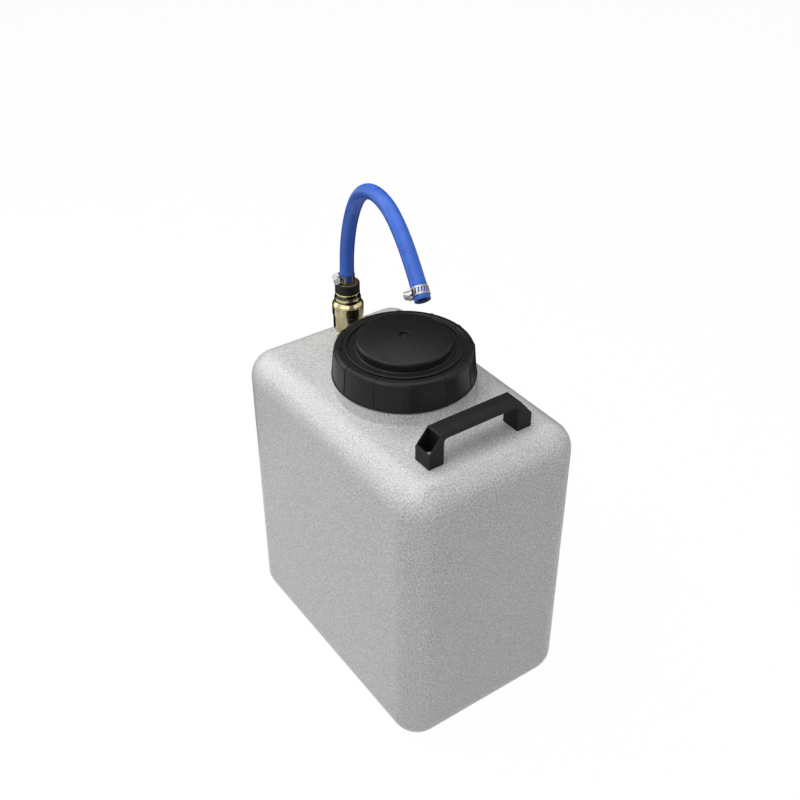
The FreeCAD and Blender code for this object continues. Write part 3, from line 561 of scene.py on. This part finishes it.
def reflected_band(node_name, rough_axis):
    """Band with each point p moved to p - 2(p.a - m)a, and its faces turned back.

    a is the band's axis, worked out from its two flat edges, and m the middle along it.
    """
    points, triangles = node_triangles(node_name)
    sides = points[triangles[:, 1:]] - points[triangles[:, :1]]
    normals = np.cross(sides[:, 0], sides[:, 1])
    normals /= np.linalg.norm(normals, axis=1)[:, None] + no_zero_length
    facing = normals @ rough_axis
    edges = np.abs(facing) > edge_facing
    axis = (normals[edges] * np.sign(facing[edges])[:, None]).mean(axis=0)
    axis /= np.linalg.norm(axis)
    reach = points @ axis
    middle = (reach.max() + reach.min()) / 2.0
    points -= 2.0 * (reach - middle)[:, None] * axis
    name = node_name + "_slotted"
    mesh = triangle_mesh(name, points, triangles[:, ::-1], band_crease)
    band = add_piece(name, mesh, finishes[node_finish[node_name]], "hose_set")
    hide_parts(node_name)
    print(name, "axis", np.round(axis, 3))
    return band


lower_band = reflected_band("lower_clamp_band", np.array([0.0, 0.0, 1.0]))
end_direction = hose_line[-1] - hose_line[-4]
end_band = reflected_band("end_clamp_band", end_direction / np.linalg.norm(end_direction))

# %% [markdown]
# ## The sleeve's spring
# The spring stands in a chamber of the sleeve, on a shoulder of the socket, and gets shorter by the
# sleeve's travel when the sleeve is drawn down. Here a copy of the coil, with a mesh of its own, stands
# for the solid.

# %% Spring that shortens
spring_crease = 60.0
coil_points, coil_triangles = node_triangles("sleeve_spring")
coil_mesh = triangle_mesh("sleeve_spring_coil", coil_points, coil_triangles, spring_crease)
spring = add_piece("sleeve_spring_coil", coil_mesh, finishes["spring_steel"], "tank")
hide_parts("sleeve_spring")
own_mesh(spring)

# %% [markdown]
# ## The hose
# A hose is one closed surface: out along the skin, round the cut end, back through
# the bore and round the other end. A curve with a round bevel would be quicker, but it
# has no bore and no rim. Each row of the grid is one ring, given by its place on the
# line and its radius. The soft wall swells a little beside each clamp.

# %% Hose surface
hose_radius = 0.0075
hose_bore_radius = 0.005
edge_round = 0.0004
first_ring = 0.004
rings_along = 170
columns_round = 48
swell_height = 0.0002
swell_offset = 0.0064
swell_reach = 0.0022


def path_frames(points):
    """Unit side and upward vectors, square to a line that stays near one upright plane.

    Upward is the tangent crossed with the plane's normal, and side is upward crossed with the tangent.
    """
    tangent = np.gradient(points, axis=0)
    chord = points[-1] - points[0]
    plane_normal = np.cross([0.0, 0.0, 1.0], [chord[0], chord[1], 0.0])
    upward = np.cross(tangent, plane_normal)
    side = np.cross(upward, tangent)
    upward /= np.linalg.norm(upward, axis=1)[:, None]
    side /= np.linalg.norm(side, axis=1)[:, None]
    return side, upward


def clamp_swell(places, steps):
    """Sum of four bell curves of the distance along the hose, one on each side of each clamp."""
    swell = np.zeros(len(places))
    for band in ("lower_clamp_band", "end_clamp_band"):
        middle = np.mean(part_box(band), axis=0)
        band_place = steps[np.argmin(np.linalg.norm(hose_line - middle, axis=1))]
        for beside in (-swell_offset, swell_offset):
            swell += swell_height * np.exp(-((places - band_place - beside) / swell_reach) ** 2)
    return swell


def hose_grid():
    """Rings out along the skin and back along the bore: line + radius (cos a side + sin a upward)."""
    steps = np.concatenate([[0.0], np.cumsum(hose_steps)])
    total = steps[-1]
    between = np.linspace(first_ring, total - first_ring, rings_along)
    places = np.concatenate([[0.0, edge_round], between, [total - edge_round, total]])
    line = np.stack([np.interp(places, steps, hose_line[:, axis]) for axis in range(3)], axis=1)
    side, upward = path_frames(line)
    outer = hose_radius + clamp_swell(places, steps)
    outer[[0, -1]] -= edge_round
    inner = np.full(len(places), hose_bore_radius)
    inner[[0, -1]] += edge_round
    rings = np.concatenate([np.arange(len(places)), np.arange(len(places))[::-1]])
    radii = np.concatenate([outer, inner[::-1]])
    angle = np.linspace(0.0, 2.0 * math.pi, columns_round, endpoint=False)
    across = np.cos(angle)[None, :, None] * side[rings][:, None, :]
    across = across + np.sin(angle)[None, :, None] * upward[rings][:, None, :]
    return line[rings][:, None, :] + radii[:, None, None] * across


hose_rings = hose_grid()
hose_mesh = grid_mesh("hose_tube", hose_rings, wrap_rows=True)
hose_tube = add_piece("hose_tube", hose_mesh, finishes["hose"], "hose_set")
hose_mesh.materials.append(finishes["hose_bore_painted_shade"])
face_row = np.arange(len(hose_mesh.polygons)) // columns_round
in_bore = (face_row >= len(hose_rings) // 2 - 1).astype(np.int32)
hose_mesh.polygons.foreach_set("material_index", in_bore)
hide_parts("hose")
print("faces in the bore", int(in_bore.sum()))


# %% [markdown]
# ## The threads
# The neck carries a coarse thread and the cap its partner, both right handed with a
# pitch of 6 mm. A thread is a small trapezium carried along a helix, and it fades to
# nothing at both ends, as a moulded one does. The cap's ridge runs half a pitch above
# the neck's, so that the two stay in mesh while the cap turns and lifts.

# %% Thread surfaces
thread_pitch = 0.006
thread_half_foot = 0.0016
thread_steps_a_turn = 96
thread_fade_angle = 0.4 * math.pi
thread_least_share = 0.02
thread_crease = 30.0
neck_top = float(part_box("cap_gasket")[0][2])
neck_start = neck_top - 0.0205
cap_start = neck_start + thread_pitch / 2.0


def thread_grid(root, crest, half_crest, low, turns):
    """Trapezium on a helix: it rises by the pitch each turn, and its depth fades at both ends."""
    angle = np.linspace(0.0, 2.0 * math.pi * turns, int(thread_steps_a_turn * turns) + 1)
    from_end = np.minimum(angle, angle[-1] - angle) / thread_fade_angle
    fade = np.clip(from_end, thread_least_share, 1.0)
    fade = fade * fade * (3.0 - 2.0 * fade)
    foot = np.full_like(angle, root)
    top = root + (crest - root) * fade
    radius = np.stack([foot, top, top, foot], axis=1)
    half_widths = np.array([-thread_half_foot, -half_crest, half_crest, thread_half_foot])
    height = low + thread_pitch * angle[:, None] / (2.0 * math.pi) + half_widths * fade[:, None]
    turn = angle[:, None]
    return np.stack([radius * np.cos(turn), radius * np.sin(turn), height], axis=-1)


def thread_piece(name, grid, finish, body):
    """Closed ridge from a helix grid, its two ends capped and its corners sharp."""
    mesh = grid_mesh(name, grid, cap_ends=True)
    mesh.set_sharp_from_angle(angle=math.radians(thread_crease))
    return add_piece(name, mesh, finish, body)


# A ridge that points away from the axis has its section read the other way round,
# which turns its faces outwards; the cap's ridge points at the axis and has it as it is.
neck_grid = thread_grid(root=0.0641, crest=0.0662, half_crest=0.0008, low=neck_start, turns=2.4)
cap_grid = thread_grid(root=0.0690, crest=0.0652, half_crest=0.0007, low=cap_start, turns=2.0)
thread_piece("neck_thread", neck_grid[:, ::-1], finishes["tank"], "tank")
thread_piece("cap_thread", cap_grid, finishes["cap"], "cap")
print("threads from", round(neck_start, 4), "to", round(neck_top, 4))

# %% [markdown]
# ## The bead on the cap
# A low bead runs round the flat land between the cap's disc and its rim. A bump would
# shade it but leave the surface flat, so it is a real ring with a flat oval section,
# sunk halfway into the land, whose height is found from the cap's solid.

# %% Bead surface
bead_radius = 0.0586
bead_half_width = 0.0012
bead_height = 0.0007
bead_steps_round = 192
bead_section_steps = 16
land_half_width = 0.005


def bead_grid():
    """Oval section carried round Z: out by half width x cos, up by height x sin of its angle.

    The section's angle runs down from a full turn, which makes the faces point outwards.
    """
    points = np.empty(len(nodes["screw_cap"].data.vertices) * 3)
    nodes["screw_cap"].data.vertices.foreach_get("co", points)
    points = points.reshape(-1, 3)
    off_bead = np.abs(np.linalg.norm(points[:, :2], axis=1) - bead_radius)
    land = points[off_bead < land_half_width, 2].max()
    turn = np.linspace(0.0, 2.0 * math.pi, bead_steps_round, endpoint=False)[:, None]
    section = np.linspace(2.0 * math.pi, 0.0, bead_section_steps, endpoint=False)[None, :]
    radius = bead_radius + bead_half_width * np.cos(section)
    height = land + bead_height * np.sin(section) + 0.0 * turn
    return np.stack([radius * np.cos(turn), radius * np.sin(turn), height], axis=-1)


bead_rings = bead_grid()
bead_mesh = grid_mesh("cap_bead", bead_rings, wrap_rows=True)
add_piece("cap_bead", bead_mesh, finishes["cap"], "cap")
print("bead's top", round(bead_rings[..., 2].max(), 4))


# %% [markdown]
# ## Floor and background
# A plain pale floor and a white surrounding. What the camera, a mirror or a glass
# sees of them is white, and the floor still shows the tank's shadow. More light would
# make them white too, but it would bleach the tank, so a Light Path node gives them
# their own glow for those rays alone.

# %% Rays that see the background
def background_rays(tree):
    """One for rays from the camera, off a mirror or through glass, and nought for the rest."""
    rays = tree.nodes.new("ShaderNodeLightPath")
    seen = rays.outputs["Is Camera Ray"]
    for other in ("Is Glossy Ray", "Is Transmission Ray"):
        either = tree.nodes.new("ShaderNodeMath")
        either.operation = "MAXIMUM"
        tree.links.new(seen, either.inputs[0])
        tree.links.new(rays.outputs[other], either.inputs[1])
        seen = either.outputs["Value"]
    return seen


# %% Floor
floor_half = 4.0
floor_glow_share = 0.94
floor_corners = [(x * floor_half, y * floor_half, 0.0) for x, y in ((-1, -1), (1, -1), (1, 1), (-1, 1))]
floor_mesh = bpy.data.meshes.new("floor")
floor_mesh.from_pydata(floor_corners, [], [(0, 1, 2, 3)])
floor = bpy.data.objects.new("floor", floor_mesh)
bpy.context.scene.collection.objects.link(floor)

floor_finish = bpy.data.materials.new("floor_finish")
floor_finish.use_nodes = True
floor_tree = floor_finish.node_tree
floor_tree.nodes.clear()
floor_output = floor_tree.nodes.new("ShaderNodeOutputMaterial")
floor_mix = floor_tree.nodes.new("ShaderNodeMixShader")
floor_matte = floor_tree.nodes.new("ShaderNodeBsdfDiffuse")
floor_matte.inputs["Color"].default_value = (0.6, 0.6, 0.6, 1.0)
floor_glow = floor_tree.nodes.new("ShaderNodeEmission")
floor_glow.inputs["Color"].default_value = (1.0, 1.0, 1.0, 1.0)
floor_glow.inputs["Strength"].default_value = 1.035
floor_share = floor_tree.nodes.new("ShaderNodeMath")
floor_share.operation = "MULTIPLY"
floor_share.inputs[1].default_value = floor_glow_share
floor_tree.links.new(background_rays(floor_tree), floor_share.inputs[0])
floor_tree.links.new(floor_share.outputs["Value"], floor_mix.inputs["Fac"])
floor_tree.links.new(floor_matte.outputs["BSDF"], floor_mix.inputs[1])
floor_tree.links.new(floor_glow.outputs["Emission"], floor_mix.inputs[2])
floor_tree.links.new(floor_mix.outputs["Shader"], floor_output.inputs["Surface"])
floor_mesh.materials.append(floor_finish)
print("floor nodes", len(floor_tree.nodes))

# %% World
world = bpy.data.worlds.new("world")
bpy.context.scene.world = world
world.use_nodes = True
world_tree = world.node_tree
world_back = world_tree.nodes["Background"]
world_back.inputs["Color"].default_value = (1.0, 1.0, 1.0, 1.0)
world_tree.links.new(background_rays(world_tree), world_back.inputs["Strength"])
print("world nodes", len(world_tree.nodes))


# %% [markdown]
# ## Lamps
# Large soft lamps from above, from the left and from the front light the faces as
# evenly as in the photograph. One long narrow lamp behind draws the bright line along
# the tank's upper left edge: a highlight has the shape of the lamp that makes it.

# %% Lamps
def soft_lamp(name, place, target, size, power, roll=0.0):
    """Rectangular area lamp at a place, facing a target and rolled about its own beam."""
    lamp = bpy.data.lights.new(name, "AREA")
    lamp.shape = "RECTANGLE"
    lamp.size, lamp.size_y = size
    lamp.energy = power
    holder = bpy.data.objects.new(name, lamp)
    holder.location = place
    facing = Vector(target) - Vector(place)
    turn = facing.to_track_quat("-Z", "Y").to_matrix() @ Matrix.Rotation(math.radians(roll), 3, "Z")
    holder.rotation_euler = turn.to_euler()
    bpy.context.scene.collection.objects.link(holder)
    print(name, power, "W")


tank_middle = (0.0, 0.0, 0.2)
left_edge = (-0.09, 0.0, 0.33)
soft_lamp("lamp_above", (-0.2, 0.3, 2.2), tank_middle, size=(2.2, 2.2), power=29.6)
soft_lamp("lamp_edge_strip", (-0.85, 1.42, 1.16), left_edge, size=(1.7, 0.32), power=9.0, roll=-41.0)
soft_lamp("lamp_high_left", (-1.5, -0.3, 1.9), tank_middle, size=(0.8, 0.8), power=9.4)
soft_lamp("lamp_high_front", (-0.9, -1.3, 1.9), tank_middle, size=(0.8, 0.8), power=5.2)
soft_lamp("lamp_front_low", (-0.3, -1.9, 0.8), tank_middle, size=(1.0, 0.8), power=5.0)
soft_lamp("lamp_front_right", (1.0, -2.0, 1.2), tank_middle, size=(1.2, 1.2), power=2.6)


# %% [markdown]
# ## Black cards
# Polished brass and black mouldings have almost no colour of their own to show; they
# show what stands round them. In a white room they would turn pale. So black cards
# stand round the coupling, as they do in a photographer's studio. They are hidden
# from the camera, from soft light and from shadows, so only reflections see them.

# %% Black cards
card_steps = 25


def stage_card(name, radius, headings, heights):
    """Black card bent round the coupling's axis, between two headings in degrees and two heights."""
    heading = np.radians(np.linspace(*headings, card_steps))[:, None]
    height = np.array(heights)[None, :] + 0.0 * heading
    across_x = coupling_x + radius * np.cos(heading) + 0.0 * height
    across_y = coupling_y + radius * np.sin(heading) + 0.0 * height
    mesh = grid_mesh(name, np.stack([across_x, across_y, height], axis=-1), wrap_columns=False)
    finish = bpy.data.materials.new(name)
    finish.use_nodes = True
    shader = finish.node_tree.nodes["Principled BSDF"]
    shader.inputs["Base Color"].default_value = (0.01, 0.01, 0.01, 1.0)
    shader.inputs["Roughness"].default_value = 1.0
    shader.inputs["Specular IOR Level"].default_value = 0.0
    mesh.materials.append(finish)
    card = bpy.data.objects.new(name, mesh)
    card.visible_camera = False
    card.visible_diffuse = False
    card.visible_shadow = False
    bpy.context.scene.collection.objects.link(card)
    print(name, "headings", headings, "heights", heights)


stage_card("card_low", 0.35, headings=(-28.0, 126.0), heights=(0.0, 0.40))
stage_card("card_high", 0.60, headings=(2.0, 96.0), heights=(0.40, 1.00))
stage_card("card_front", 0.60, headings=(245.0, 284.0), heights=(0.42, 1.15))

# %% [markdown]
# ## Colours as they are written
# The Standard view shows a surface in plain light about in the colour that its finish
# names. A film-like view would soften the white and the blue.

# %% View
bpy.context.scene.view_settings.view_transform = "Standard"
print("view", bpy.context.scene.view_settings.view_transform)
